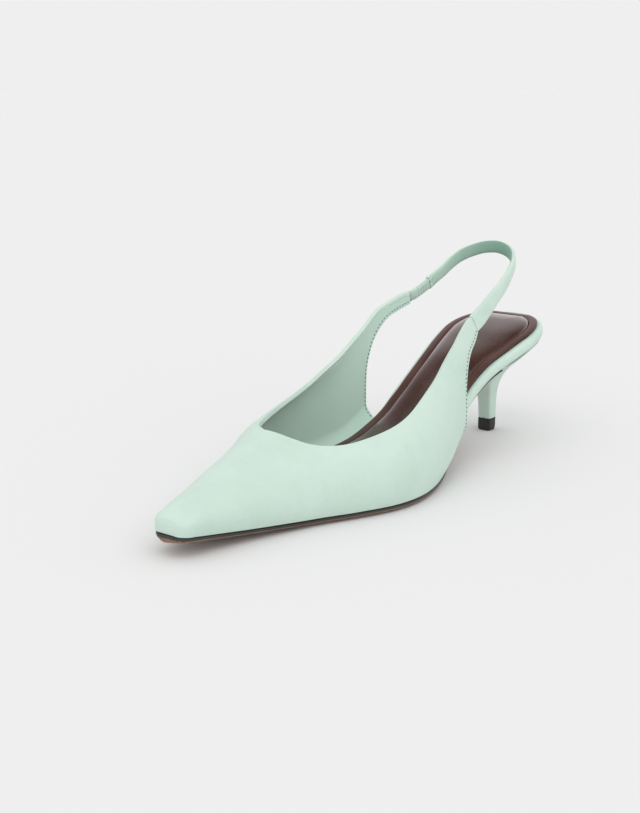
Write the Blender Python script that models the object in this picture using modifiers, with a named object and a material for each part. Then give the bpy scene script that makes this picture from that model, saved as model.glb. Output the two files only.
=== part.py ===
"""Slingback kitten heel, the left shoe, as separate solids.

The toe points along -Y, the outer (lateral) side is +X, the floor is z = 0, and the
origin is under the middle of the flat that the ball of the foot rests on.
Every section table gives its places as shares of the named sizes below.
"""
import math

import bmesh
import bpy
from mathutils import Vector

# Driving sizes, in metres
SHOE_LENGTH = 0.262
BALL_WIDTH = 0.079
HEEL_RISE = 0.0480
TOE_SPRING = 0.0062
INSTEP_HEIGHT = 0.070
OUTSOLE_THICKNESS = 0.0030
OUTSOLE_EDGE_LIFT = 0.0014
WAIST_EDGE_LIFT = 0.0022
OUTSOLE_BEVEL = 0.0060
SEAT_TUCK = 0.0016
UPPER_WALL = 0.0018
RAND_HEIGHT = 0.0063
RAND_ROLL = 0.0028
SOCK_THICKNESS = 0.0011
SOCK_PADDING = 0.0016
SOCK_BORDER = 0.0030
SOCK_BORDER_FRONT = 0.0016
TOP_PIECE_HEIGHT = 0.0063
TOP_PIECE_LIP = 0.0001
COLUMN_WIDTH = 0.0073
COLUMN_DEPTH = 0.0081
COLUMN_PLACE = 0.0265
BREAST_PLACE = 0.0500
STRAP_WIDTH = 0.0062
STRAP_TAB_WIDTH = 0.0088
STRAP_THICKNESS = 0.0026
ELASTIC_WIDTH = 0.0056
ELASTIC_THICKNESS = 0.0022
ELASTIC_LENGTH = 0.0150
CLEARANCE = 0.0003

# Middle of the flat that the ball of the foot rests on, as a share of the length
BALL_REST = 0.626

# Room that the upper's sloping nose leaves in front of the board, as a share of the length
NOSE_ROOM = 0.0150

# Powers of rounded outlines: a small one makes a square corner
BREAST_CORNER = 2 / 6.5
BACK_CURVE = 2 / 2.35
BAND_CORNER = 2 / 2.8

# The board's rolled edge from its foot up: how far in, as a share of the roll, and how
# high, as a share of the board
EDGE_ROLL = ((0.54, 0.00), (0.16, 0.16), (0.0, 0.48), (0.14, 0.80), (0.50, 0.95))

# Share of its length over which the strap narrows from the outer quarter
STRAP_TAPER = 0.45

# Places along the shoe where the sock begins and ends, and over which its pad rises
SOCK_BACK = 0.0175
SOCK_FRONT = 0.975
PAD_RISE = 0.03

# How finely the curved pieces are cut
RIBS_PER_ROW = 3
WALL_STEPS = 10
SOLE_STATIONS = 44
SOLE_STEPS = 8
RING_POINTS = 28
STRAP_STATIONS = 44
STRAP_POINTS = 12
ELASTIC_STATIONS = 6

# Outline of the sole's edge: widths are shares of the ball width
OUTLINE_COLUMNS = ("along", "lateral", "medial")
OUTLINE = (
    (0.115, 0.330, 0.346),
    (0.170, 0.307, 0.320),
    (0.230, 0.277, 0.284),
    (0.290, 0.268, 0.274),
    (0.340, 0.288, 0.288),
    (0.400, 0.351, 0.322),
    (0.460, 0.430, 0.372),
    (0.520, 0.490, 0.432),
    (0.575, 0.514, 0.474),
    (0.630, 0.490, 0.484),
    (0.690, 0.412, 0.444),
    (0.750, 0.320, 0.354),
    (0.820, 0.242, 0.268),
    (0.890, 0.178, 0.188),
    (0.950, 0.140, 0.126),
    (0.975, 0.124, 0.100),
)
SEAT_ROUND = 0.115
TOE_ROUND = 0.025

# Height of the line where upper and sole meet: rise is a share of the heel's rise,
# spring a share of the toe spring
PROFILE_COLUMNS = ("along", "rise", "spring")
PROFILE = (
    (0.000, 1.000, 0.0),
    (0.057, 0.946, 0.0),
    (0.115, 0.871, 0.0),
    (0.172, 0.779, 0.0),
    (0.221, 0.690, 0.0),
    (0.275, 0.540, 0.0),
    (0.332, 0.332, 0.0),
    (0.390, 0.152, 0.0),
    (0.443, 0.051, 0.0),
    (0.496, 0.009, 0.0),
    (0.553, 0.000, 0.0),
    (0.700, 0.000, 0.0),
    (0.763, 0.000, 0.05),
    (0.820, 0.000, 0.18),
    (0.885, 0.000, 0.40),
    (0.947, 0.000, 0.72),
    (1.000, 0.000, 1.00),
)

# Thickness of the insole board with its covered edge, as a share of the rand's height
BOARD_COLUMNS = ("along", "thickness")
BOARD = (
    (0.000, 1.00),
    (0.115, 0.98),
    (0.172, 0.92),
    (0.221, 0.86),
    (0.275, 0.83),
    (0.332, 0.79),
    (0.390, 0.68),
    (0.443, 0.48),
    (0.496, 0.35),
    (0.553, 0.32),
    (1.000, 0.32),
)

# The last above the sole's edge: the bulges are how far each side stands out past the
# edge and lean how far the ridge lies off the middle, as shares of the ball width;
# belly and ridge are heights above the edge line as shares of the instep height;
# square is the section's exponent
LAST_COLUMNS = ("along", "lateral_bulge", "medial_bulge", "belly", "ridge", "lean", "square")
LAST = (
    (0.250, 0.054, 0.030, 0.180, 0.830, -0.110, 2.6),
    (0.300, 0.068, 0.056, 0.170, 0.960, -0.120, 2.6),
    (0.350, 0.070, 0.066, 0.160, 1.030, -0.125, 2.6),
    (0.385, 0.060, 0.064, 0.140, 0.975, -0.125, 2.5),
    (0.424, 0.048, 0.058, 0.120, 0.916, -0.125, 2.4),
    (0.460, 0.034, 0.050, 0.115, 0.816, -0.120, 2.3),
    (0.496, 0.024, 0.039, 0.110, 0.738, -0.115, 2.3),
    (0.534, 0.015, 0.031, 0.100, 0.657, -0.108, 2.3),
    (0.572, 0.012, 0.025, 0.092, 0.590, -0.105, 2.3),
    (0.620, 0.012, 0.019, 0.088, 0.530, -0.110, 2.25),
    (0.664, 0.014, 0.016, 0.086, 0.489, -0.121, 2.2),
    (0.725, 0.015, 0.012, 0.082, 0.443, -0.131, 2.09),
    (0.763, 0.016, 0.010, 0.080, 0.384, -0.127, 2.08),
    (0.810, 0.016, 0.014, 0.078, 0.329, -0.095, 2.15),
    (0.859, 0.015, 0.014, 0.076, 0.280, -0.065, 2.2),
    (0.908, 0.014, 0.011, 0.074, 0.220, -0.036, 2.2),
    (0.945, 0.013, 0.008, 0.070, 0.174, -0.014, 2.2),
    (0.970, 0.012, 0.006, 0.064, 0.144, -0.004, 2.2),
    (0.988, 0.010, 0.005, 0.054, 0.108, 0.000, 2.2),
    (1.000, 0.008, 0.005, 0.040, 0.072, 0.000, 2.2),
)

# Ribs of the upper on each side, from the tab's end round to the throat. A rib runs on
# the last from its low end to its top end. around is -1 at the sole's edge, 0 at the
# side's widest line and 1 on the ridge
RIB_COLUMNS = ("low_along", "low_around", "top_along", "top_around")
LATERAL_RIBS = (
    (0.304, 0.240, 0.316, 0.358),
    (0.316, 0.215, 0.344, 0.356),
    (0.339, 0.195, 0.368, 0.374),
    (0.355, 0.160, 0.391, 0.393),
    (0.365, 0.092, 0.412, 0.406),
    (0.365, 0.007, 0.433, 0.420),
    (0.362, -0.490, 0.454, 0.434),
    (0.366, -1.000, 0.477, 0.446),
    (0.420, -1.000, 0.508, 0.455),
    (0.485, -1.000, 0.546, 0.462),
    (0.553, -1.000, 0.588, 0.472),
    (0.618, -1.000, 0.630, 0.488),
    (0.676, -1.000, 0.672, 0.505),
    (0.722, -1.000, 0.703, 0.550),
    (0.762, -1.000, 0.725, 0.657),
    (0.795, -1.000, 0.732, 0.818),
    (0.824, -1.000, 0.733, 1.000),
)
MEDIAL_RIBS = (
    (0.257, 0.290, 0.266, 0.400),
    (0.282, 0.282, 0.294, 0.399),
    (0.313, 0.290, 0.328, 0.407),
    (0.346, 0.240, 0.359, 0.422),
    (0.361, 0.170, 0.381, 0.453),
    (0.366, 0.100, 0.403, 0.463),
    (0.366, 0.030, 0.425, 0.474),
    (0.364, -0.400, 0.447, 0.515),
    (0.359, -1.000, 0.472, 0.568),
    (0.414, -1.000, 0.507, 0.600),
    (0.481, -1.000, 0.549, 0.624),
    (0.553, -1.000, 0.595, 0.655),
    (0.622, -1.000, 0.637, 0.698),
    (0.686, -1.000, 0.676, 0.751),
    (0.738, -1.000, 0.708, 0.812),
    (0.784, -1.000, 0.727, 0.908),
    (0.824, -1.000, 0.733, 1.000),
)
# Beyond the throat the ribs run up to the ridge: places of their low and top ends
VAMP_COLUMNS = ("low_along", "top_along")
VAMP_RIBS = (
    (0.846, 0.762),
    (0.866, 0.788),
    (0.885, 0.814),
    (0.903, 0.842),
    (0.919, 0.870),
    (0.934, 0.896),
    (0.948, 0.920),
    (0.960, 0.941),
    (0.970, 0.958),
    (0.978, 0.971),
    (0.985, 0.981),
    (0.991, 0.989),
    (0.996, 0.995),
)

# Heel rings from the seat down: height is a share of the heel between top piece and
# seat, back, front and side say how far the ring has opened from the column (0) to
# the seat (1)
HEEL_COLUMNS = ("height", "back", "front", "side")
HEEL_RINGS = (
    (1.000, 1.000, 1.000, 1.000),
    (0.955, 0.920, 0.950, 0.930),
    (0.900, 0.790, 0.860, 0.820),
    (0.830, 0.610, 0.740, 0.660),
    (0.750, 0.430, 0.590, 0.480),
    (0.660, 0.260, 0.430, 0.300),
    (0.560, 0.120, 0.270, 0.150),
    (0.440, 0.040, 0.120, 0.060),
    (0.300, 0.000, 0.030, 0.010),
    (0.000, 0.000, 0.000, 0.000),
)

# Middle of the strap's band from the outer quarter round the back to the inner one:
# along is a share of the shoe's length, across of the ball width, height is above the
# sole's edge and a share of the instep height, lean is how far the band's top tips inwards
LOOP_COLUMNS = ("along", "across", "height", "lean")
LOOP = (
    (0.282, 0.287, 0.582, 0.24),
    (0.252, 0.275, 0.566, 0.18),
    (0.225, 0.265, 0.563, 0.10),
    (0.193, 0.252, 0.573, 0.06),
    (0.166, 0.234, 0.586, 0.04),
    (0.134, 0.200, 0.593, 0.02),
    (0.107, 0.160, 0.597, 0.00),
    (0.078, 0.099, 0.601, 0.00),
    (0.063, 0.044, 0.612, 0.00),
    (0.056, -0.016, 0.625, 0.00),
    (0.057, -0.076, 0.634, 0.00),
    (0.069, -0.151, 0.633, 0.00),
    (0.103, -0.218, 0.623, 0.00),
    (0.135, -0.236, 0.608, 0.02),
    (0.164, -0.240, 0.591, 0.04),
    (0.193, -0.249, 0.578, 0.06),
    (0.220, -0.257, 0.567, 0.10),
    (0.243, -0.267, 0.573, 0.14),
)


def clear_scene():
    """Start from an empty file."""
    for item in list(bpy.data.objects):
        bpy.data.objects.remove(item, do_unlink=True)


def slopes(xs, ys):
    """Slopes of a smooth curve that doesn't overshoot its rows."""
    steps = [(y1 - y0) / (x1 - x0) for x0, x1, y0, y1 in zip(xs, xs[1:], ys, ys[1:])]
    found = [steps[0]]
    for before, after in zip(steps, steps[1:]):
        if before * after <= 0.0:
            found.append(0.0)
        else:
            found.append(2.0 * before * after / (before + after))
    found.append(steps[-1])
    return found


def smooth(xs, ys, x):
    """Value at x of the smooth curve through the points."""
    x = min(max(x, xs[0]), xs[-1])
    last = len(xs) - 2
    i = next((k for k in range(last + 1) if x <= xs[k + 1]), last)
    width = xs[i + 1] - xs[i]
    t = (x - xs[i]) / width
    m = slopes(xs, ys)
    h00 = (1 + 2 * t) * (1 - t) ** 2
    h10 = t * (1 - t) ** 2
    h01 = t * t * (3 - 2 * t)
    h11 = t * t * (t - 1)
    return h00 * ys[i] + h10 * width * m[i] + h01 * ys[i + 1] + h11 * width * m[i + 1]


def catmull(xs, ys, x):
    """Value at x of the rounded curve through the points."""
    x = min(max(x, xs[0]), xs[-1])
    last = len(xs) - 2
    i = next((k for k in range(last + 1) if x <= xs[k + 1]), last)
    low = max(i - 1, 0)
    high = min(i + 2, len(xs) - 1)
    width = xs[i + 1] - xs[i]
    t = (x - xs[i]) / width
    m0 = (ys[i + 1] - ys[low]) / (xs[i + 1] - xs[low]) * width
    m1 = (ys[high] - ys[i]) / (xs[high] - xs[i]) * width
    h00 = (1 + 2 * t) * (1 - t) ** 2
    h10 = t * (1 - t) ** 2
    h01 = t * t * (3 - 2 * t)
    h11 = t * t * (t - 1)
    return h00 * ys[i] + h10 * m0 + h01 * ys[i + 1] + h11 * m1


def read(table, columns, name, share):
    """A table's named column at a share of its first column."""
    k = columns.index(name)
    curve = smooth if table in (PROFILE, BOARD) else catmull
    return curve([row[0] for row in table], [row[k] for row in table], share)


def edge_width(side, along, inset=0.0):
    """Half width of the sole's edge on one side, drawn in by an inset."""
    name = "lateral" if side > 0 else "medial"
    inner = inset / SHOE_LENGTH
    low = inner
    high = 1.0 - inner
    along = min(max(along, low), high)
    width = read(OUTLINE, OUTLINE_COLUMNS, name, along) * BALL_WIDTH - inset
    if along < SEAT_ROUND:
        share = (SEAT_ROUND - along) / (SEAT_ROUND - low)
        return width * max(0.0, 1.0 - share ** 2.35) ** (1 / 2.35)
    if along > 1.0 - TOE_ROUND - inner:
        share = (along - (1.0 - TOE_ROUND - inner)) / TOE_ROUND
        return width * max(0.0, 1.0 - min(share, 1.0) ** 2.4) ** (1 / 2.4)
    return width


def edge_height(along):
    """Height of the line where the sole's top edge and the upper meet."""
    rise = read(PROFILE, PROFILE_COLUMNS, "rise", along) * HEEL_RISE
    spring = read(PROFILE, PROFILE_COLUMNS, "spring", along) * TOE_SPRING
    return OUTSOLE_THICKNESS + CLEARANCE + rise + spring


def board_thickness(along):
    """Thickness of the insole board at a share of the length."""
    return read(BOARD, BOARD_COLUMNS, "thickness", along) * RAND_HEIGHT


def place(along, x, z):
    """A point from its share of the length, its offset and its height."""
    return Vector((x, SHOE_LENGTH * (BALL_REST - along), z))


def upper_here(along):
    """How much of the upper's wall stands on the sole's edge: 0 behind, 1 in front."""
    start = min(row[0] for rows in (LATERAL_RIBS, MEDIAL_RIBS) for row in rows if row[1] <= -1.0)
    share = (along - start + 0.030) / 0.025
    share = min(max(share, 0.0), 1.0)
    return share * share * (3 - 2 * share)


def board_inset(along):
    """How far the board's edge stands inside the sole's edge, under the upper's wall."""
    return (UPPER_WALL + CLEARANCE) * upper_here(along)


def spread(count, start, end):
    """Stations that crowd together towards both ends."""
    return [start + (end - start) * 0.5 * (1 - math.cos(math.pi * k / count)) for k in range(count + 1)]


def mesh_object(name, points, faces, collection, material):
    """A named object from points and faces, with its normals turned outwards."""
    mesh = bpy.data.meshes.new(name)
    mesh.from_pydata([tuple(p) for p in points], [], faces)
    work = bmesh.new()
    work.from_mesh(mesh)
    bmesh.ops.remove_doubles(work, verts=work.verts, dist=0.00001)
    bmesh.ops.recalc_face_normals(work, faces=work.faces)
    work.to_mesh(mesh)
    work.free()
    for face in mesh.polygons:
        face.use_smooth = True
    item = bpy.data.objects.new(name, mesh)
    collection.objects.link(item)
    mesh.materials.append(material)
    return item


def loft(name, rings, collection, material):
    """A closed solid through rings that all have the same number of points."""
    count = len(rings[0])
    points = [p for ring in rings for p in ring]
    faces = []
    for r in range(len(rings) - 1):
        for k in range(count):
            n = (k + 1) % count
            faces.append((r * count + k, r * count + n, (r + 1) * count + n, (r + 1) * count + k))
    faces.append(tuple(reversed(range(count))))
    faces.append(tuple(range((len(rings) - 1) * count, len(rings) * count)))
    return mesh_object(name, points, faces, collection, material)


def leather(name, colour, roughness):
    """A plain material with the part's colour."""
    made = bpy.data.materials.new(name)
    made.use_nodes = True
    shader = made.node_tree.nodes["Principled BSDF"]
    shader.inputs["Base Color"].default_value = (*colour, 1.0)
    shader.inputs["Roughness"].default_value = roughness
    shader.inputs["Metallic"].default_value = 0.0
    made.diffuse_color = (*colour, 1.0)
    return made


def last_values(side, along):
    """The last's sizes at one place: edge, foot, widest, belly, ridge, lean and power."""
    edge = edge_width(side, along)
    foot = edge_height(along)
    name = "lateral_bulge" if side > 0 else "medial_bulge"
    bulge = read(LAST, LAST_COLUMNS, name, along) * BALL_WIDTH
    lean = read(LAST, LAST_COLUMNS, "lean", along) * BALL_WIDTH
    if along > 1.0 - TOE_ROUND:
        closing = edge / edge_width(side, 1.0 - TOE_ROUND)
        bulge *= closing
        lean *= closing
    belly = read(LAST, LAST_COLUMNS, "belly", along) * INSTEP_HEIGHT
    ridge = read(LAST, LAST_COLUMNS, "ridge", along) * INSTEP_HEIGHT
    power = 2.0 / read(LAST, LAST_COLUMNS, "square", along)
    return edge, foot, edge + bulge, belly, ridge, lean * side, power


def last_point(side, along, around):
    """A point on the outside of the upper."""
    edge, foot, widest, belly, ridge, lean, power = last_values(side, along)
    if around < 0.0:
        x = edge + (widest - edge) * (1.0 - around * around)
        return place(along, side * x, foot + belly * (1.0 + around))
    turn = around * math.pi / 2
    x = lean + (widest - lean) * max(math.cos(turn), 0.0) ** power
    z = foot + belly + (ridge - belly) * math.sin(turn) ** power
    return place(along, side * x, z)


def fine_ribs(side):
    """Ribs between the table's rows, from the tab's end to the nose."""
    rows = LATERAL_RIBS if side > 0 else MEDIAL_RIBS
    rows = rows + tuple((low, -1.0, top, 1.0) for low, top in VAMP_RIBS)
    keys = list(range(len(rows)))
    columns = [[row[k] for row in rows] for k in range(4)]
    quarter = len(LATERAL_RIBS) - 1
    steps = [step / RIBS_PER_ROW for step in range(quarter * RIBS_PER_ROW)]
    steps += list(range(quarter, len(rows)))
    return [tuple(smooth(keys, column, t) for column in columns) for t in steps]


def rib_points(side, rib):
    """Points up one rib of the upper."""
    low_along, low_around, top_along, top_around = rib
    found = []
    for step in range(WALL_STEPS + 1):
        t = step / WALL_STEPS
        along = low_along + (top_along - low_along) * t
        around = low_around + (top_around - low_around) * t
        found.append(last_point(side, along, around))
    return found


def build_upper(collection, material):
    """One hollow shell: vamp, both quarters and their tabs."""
    points = []
    faces = []
    noses = []
    width = WALL_STEPS + 1
    for side in (1, -1):
        ribs = fine_ribs(side)
        first = len(points)
        for rib in ribs:
            points.extend(rib_points(side, rib))
        for r in range(len(ribs) - 1):
            for k in range(WALL_STEPS):
                a = first + r * width + k
                faces.append((a, a + 1, a + width + 1, a + width))
        noses.append(first + (len(ribs) - 1) * width)
    for k in range(WALL_STEPS):
        faces.append((noses[0] + k, noses[0] + k + 1, noses[1] + k + 1, noses[1] + k))
    item = mesh_object("upper", points, faces, collection, material)
    wall = item.modifiers.new("Wall", "SOLIDIFY")
    wall.thickness = UPPER_WALL
    wall.offset = -1.0
    wall.use_even_offset = False
    return item


def tab_end(side):
    """Middle of a quarter's end inside its wall, and the way up its end."""
    rib = fine_ribs(side)[0]
    points = rib_points(side, rib)
    low = points[0]
    top = points[-1]
    centre = points[len(points) // 2].copy()
    centre.x -= side * UPPER_WALL / 2
    return centre, (top - low).normalized()


def build_outsole(collection, material):
    """Thin sole with a bevelled under edge, from the heel's breast to the toe."""
    start = (BREAST_PLACE + CLEARANCE) / SHOE_LENGTH

    def ring(along):
        found_low = []
        found_top = []
        for step in range(-SOLE_STEPS, SOLE_STEPS + 1):
            side = -1 if step < 0 else 1
            waist = 1.0 - upper_here(along)
            full = edge_width(side, along) - SEAT_TUCK * waist
            thinned = OUTSOLE_EDGE_LIFT + (WAIST_EDGE_LIFT - OUTSOLE_EDGE_LIFT) * waist
            share = abs(step) / SOLE_STEPS
            in_flat = max(full - OUTSOLE_BEVEL, 0.0)
            if share <= 0.5:
                x = in_flat * share * 2
                lift = 0.0
            else:
                x = in_flat + (full - in_flat) * (share - 0.5) * 2
                lift = thinned * ((share - 0.5) * 2) ** 2
            top = edge_height(along) - CLEARANCE
            found_low.append(place(along, side * x, top - OUTSOLE_THICKNESS + lift))
            found_top.append(place(along, side * x, top))
        return found_low + found_top[::-1]

    rings = [ring(along) for along in spread(SOLE_STATIONS, start, 0.9985)]
    return loft("outsole", rings, collection, material)


def build_board(collection, material):
    """Insole board with its covered, rolled edge."""
    def ring(along):
        inset = board_inset(along)
        foot = edge_height(along)
        thick = board_thickness(along)
        roll = min(RAND_ROLL, thick * 0.5)
        sides = {}
        for side in (1, -1):
            full = edge_width(side, along, inset)
            small = min(roll, full * 0.6)
            sides[side] = [(side * (full - small * r), foot + thick * h) for r, h in EDGE_ROLL]
            sides[side].append((side * (full - small), foot + thick))
        across_top = [sides[1][-1][0] * (1 - t / 3) + sides[-1][-1][0] * t / 3 for t in (1, 2)]
        across_low = [sides[-1][0][0] * (1 - t / 3) + sides[1][0][0] * t / 3 for t in (1, 2)]
        outline = sides[1] + [(x, foot + thick) for x in across_top]
        outline += sides[-1][::-1] + [(x, foot) for x in across_low]
        return [place(along, x, z) for x, z in outline]

    rings = [ring(along) for along in spread(SOLE_STATIONS, 0.0008, 1.0 - NOSE_ROOM)]
    return loft("insole_board", rings, collection, material)


def build_sock(collection, material):
    """Padded leather sock on the board."""

    def border(along):
        front = upper_here(along)
        return board_inset(along) + SOCK_BORDER * (1.0 - front) + SOCK_BORDER_FRONT * front

    def under(along):
        return edge_height(along) + board_thickness(along) + CLEARANCE

    def top(along, share):
        pad = SOCK_PADDING * (1.0 - share ** 2.5)
        return under(along) + SOCK_THICKNESS + pad * min(1.0, along / PAD_RISE)

    rings = []
    for along in spread(SOLE_STATIONS, SOCK_BACK, SOCK_FRONT):
        low = []
        high = []
        for step in range(SOLE_STEPS + 1):
            share = 1.0 - 2.0 * step / SOLE_STEPS
            side = 1 if share >= 0 else -1
            x = edge_width(side, along, border(along)) * share
            low.append(place(along, x, under(along)))
            high.append(place(along, x, top(along, abs(share))))
        rings.append(low + high[::-1])
    return loft("sock", rings, collection, material)


def heel_outline(z_of, behind, ahead, half):
    """D-shaped ring round the column: flat breast in front, rounded behind."""
    found = []
    for k in range(RING_POINTS):
        turn = 2 * math.pi * k / RING_POINTS
        across = math.cos(turn)
        depth = math.sin(turn)
        power = BREAST_CORNER if depth > 0 else BACK_CURVE
        reach = ahead if depth > 0 else -behind
        along = (COLUMN_PLACE + reach * abs(depth) ** power) / SHOE_LENGTH
        x = math.copysign(half(across) * abs(across) ** power, across)
        found.append(place(along, x, z_of(along)))
    return found


def heel_ring(height, back, front, side_open):
    """One ring of the heel, between the column and the seat."""
    base = TOP_PIECE_HEIGHT + CLEARANCE
    round_end = COLUMN_PLACE - SEAT_TUCK - COLUMN_DEPTH / 2
    flat_end = BREAST_PLACE - COLUMN_PLACE - COLUMN_DEPTH / 2

    def half(across):
        seat = edge_width(1 if across >= 0 else -1, COLUMN_PLACE / SHOE_LENGTH, SEAT_TUCK)
        return COLUMN_WIDTH / 2 + (seat - COLUMN_WIDTH / 2) * side_open

    def z_of(along):
        return base + (edge_height(along) - CLEARANCE - base) * height

    return heel_outline(z_of, COLUMN_DEPTH / 2 + round_end * back, COLUMN_DEPTH / 2 + flat_end * front, half)


def build_heel(collection, material):
    """Covered kitten heel: a wide seat on a slender column."""
    rings = [heel_ring(*row) for row in HEEL_RINGS]
    return loft("heel", rings, collection, material)


def build_top_piece(collection, material):
    """Black wear pad under the column, a little proud of it all round."""
    rings = []
    for z, lip in ((0.0, -0.0005), (0.0007, TOP_PIECE_LIP), (TOP_PIECE_HEIGHT, TOP_PIECE_LIP)):
        reach = COLUMN_DEPTH / 2 + lip
        half = COLUMN_WIDTH / 2 + lip
        rings.append(heel_outline(lambda _: z, reach, reach, lambda _: half))
    return loft("top_piece", rings, collection, material)


def loop_path():
    """Places along the strap with the way up its band, from tab to tab."""
    first, first_up = tab_end(1)
    last, last_up = tab_end(-1)
    places = [first]
    ups = [first_up]
    for along, across, height, lean in LOOP:
        z = edge_height(along) + height * INSTEP_HEIGHT
        places.append(place(along, across * BALL_WIDTH, z))
        ups.append(Vector((-math.copysign(lean, across), 0.0, 1.0)).normalized())
    places.append(last)
    ups.append(last_up)
    keys = [0.0]
    for before, after in zip(places, places[1:]):
        keys.append(keys[-1] + (after - before).length)
    count = 4 * STRAP_STATIONS
    found = []
    for step in range(count + 1):
        t = keys[-1] * step / count
        where = Vector([catmull(keys, [p[k] for p in places], t) for k in range(3)])
        up = Vector([smooth(keys, [p[k] for p in ups], t) for k in range(3)])
        found.append((where, up))
    return found


def strap_width(share):
    """Width of the strap at a share of its length from the outer quarter."""
    t = min(share / STRAP_TAPER, 1.0)
    return STRAP_TAB_WIDTH + (STRAP_WIDTH - STRAP_TAB_WIDTH) * t * t * (3 - 2 * t)


def band_rings(start, end, count, width_at, thickness):
    """Rounded rings of a band between two shares of the loop."""
    path = loop_path()
    runs = [0.0]
    for before, after in zip(path, path[1:]):
        runs.append(runs[-1] + (after[0] - before[0]).length)
    total = runs[-1]
    rings = []
    for step in range(count + 1):
        run = start * total + (end - start) * total * step / count
        i = next((k for k in range(len(runs) - 1) if run <= runs[k + 1]), len(runs) - 2)
        t = (run - runs[i]) / (runs[i + 1] - runs[i])
        where = path[i][0].lerp(path[i + 1][0], t)
        up = path[i][1].lerp(path[i + 1][1], t)
        ahead = (path[min(i + 2, len(path) - 1)][0] - path[max(i - 1, 0)][0]).normalized()
        up = (up - ahead * up.dot(ahead)).normalized()
        out = ahead.cross(up).normalized()
        width = width_at(step / count)
        ring = []
        for k in range(STRAP_POINTS):
            turn = 2 * math.pi * (k + 0.5) / STRAP_POINTS
            across = math.copysign(abs(math.cos(turn)) ** BAND_CORNER, math.cos(turn))
            height = math.copysign(abs(math.sin(turn)) ** BAND_CORNER, math.sin(turn))
            ring.append(where + out * across * thickness / 2 + up * height * width / 2)
        rings.append(ring)
    return rings


def loop_length():
    """Length of the whole loop from tab to tab."""
    path = loop_path()
    return sum((after[0] - before[0]).length for before, after in zip(path, path[1:]))


def build_strap(collection, material):
    """Padded band from the outer quarter round the back of the heel."""
    total = loop_length()
    start = CLEARANCE / total
    end = 1.0 - (ELASTIC_LENGTH + CLEARANCE) / total
    rings = band_rings(start, end, STRAP_STATIONS, strap_width, STRAP_THICKNESS)
    return loft("slingback_strap", rings, collection, material)


def build_elastic(collection, material):
    """Covered elastic between the strap's mouth and the inner quarter's tab."""
    total = loop_length()
    start = 1.0 - ELASTIC_LENGTH / total
    end = 1.0 - CLEARANCE / total
    rings = band_rings(start, end, ELASTIC_STATIONS, lambda _: ELASTIC_WIDTH, ELASTIC_THICKNESS)
    return loft("elastic", rings, collection, material)


def build_all():
    """Every solid of the shoe in one collection."""
    clear_scene()
    collection = bpy.data.collections.new("slingback_kitten_heel")
    bpy.context.scene.collection.children.link(collection)
    mint = leather("mint_nubuck", (0.60, 0.78, 0.68), 0.85)
    brown = leather("brown_sock_leather", (0.07, 0.025, 0.022), 0.45)
    sole = leather("sole_leather", (0.05, 0.035, 0.03), 0.5)
    black = leather("black_rubber", (0.015, 0.014, 0.013), 0.6)
    build_upper(collection, mint)
    build_outsole(collection, sole)
    build_board(collection, mint)
    build_sock(collection, brown)
    build_heel(collection, mint)
    build_top_piece(collection, black)
    build_strap(collection, mint)
    build_elastic(collection, mint)


build_all()
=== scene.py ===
# %% [markdown]
# A slingback kitten heel, the left shoe of a pair, in mint nubuck.
# The measured solids are loaded first and never moved. Every visible piece is then made
# around them: the shape comes from a short set of last measures, the finish from nodes.

# %% Load the measured shoe
import math

import bmesh
import bpy
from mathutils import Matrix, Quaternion, Vector


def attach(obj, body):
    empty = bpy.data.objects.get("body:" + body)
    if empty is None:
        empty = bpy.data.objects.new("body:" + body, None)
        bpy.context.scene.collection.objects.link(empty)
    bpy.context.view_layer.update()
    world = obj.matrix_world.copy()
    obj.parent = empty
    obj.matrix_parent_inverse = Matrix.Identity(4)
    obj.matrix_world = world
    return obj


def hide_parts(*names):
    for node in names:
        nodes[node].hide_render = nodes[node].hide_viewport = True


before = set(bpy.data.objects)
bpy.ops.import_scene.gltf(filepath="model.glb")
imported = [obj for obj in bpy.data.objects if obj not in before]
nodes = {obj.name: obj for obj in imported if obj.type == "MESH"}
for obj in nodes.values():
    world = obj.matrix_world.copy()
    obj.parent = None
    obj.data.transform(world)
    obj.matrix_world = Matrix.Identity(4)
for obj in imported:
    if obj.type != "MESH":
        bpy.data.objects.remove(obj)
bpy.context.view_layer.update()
print("nodes:", ", ".join(sorted(nodes)))

# %% [markdown]
# The camera comes first, because every judgement of shape is made through it. It stands
# low, a little ahead of the toe and to the outer side, with a long lens as in a shop's
# product picture. Its place was found by lining up the sole, topline and heel.

# %% Camera
CAMERA_PLACE = Vector((0.3262, -0.4157, 0.1740))
CAMERA_AZIMUTH = math.radians(38.3)
CAMERA_HEIGHT_ANGLE = math.radians(14.28)
CAMERA_ROLL = math.radians(-0.1)
LENS_MM = 71.39
SENSOR_MM = 36.0


def add_object(name, data):
    """A new object in the scene."""
    made = bpy.data.objects.new(name, data)
    bpy.context.scene.collection.objects.link(made)
    return made


def add_camera():
    """Camera at the picture's angle, looking at the middle of the shoe."""
    data = bpy.data.cameras.new("product_camera")
    data.sensor_fit = "HORIZONTAL"
    data.sensor_width = SENSOR_MM
    data.lens = LENS_MM
    data.clip_start = 0.01
    camera = add_object("product_camera", data)
    level = math.cos(CAMERA_HEIGHT_ANGLE)
    back = Vector((math.sin(CAMERA_AZIMUTH) * level, -math.cos(CAMERA_AZIMUTH) * level,
                   math.sin(CAMERA_HEIGHT_ANGLE)))
    aim = back.to_track_quat("Z", "Y") @ Quaternion((0.0, 0.0, 1.0), CAMERA_ROLL)
    camera.rotation_mode = "QUATERNION"
    camera.rotation_quaternion = aim
    camera.location = CAMERA_PLACE
    bpy.context.scene.camera = camera
    return camera


add_camera()
print("camera", [round(v, 3) for v in CAMERA_PLACE])

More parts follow.
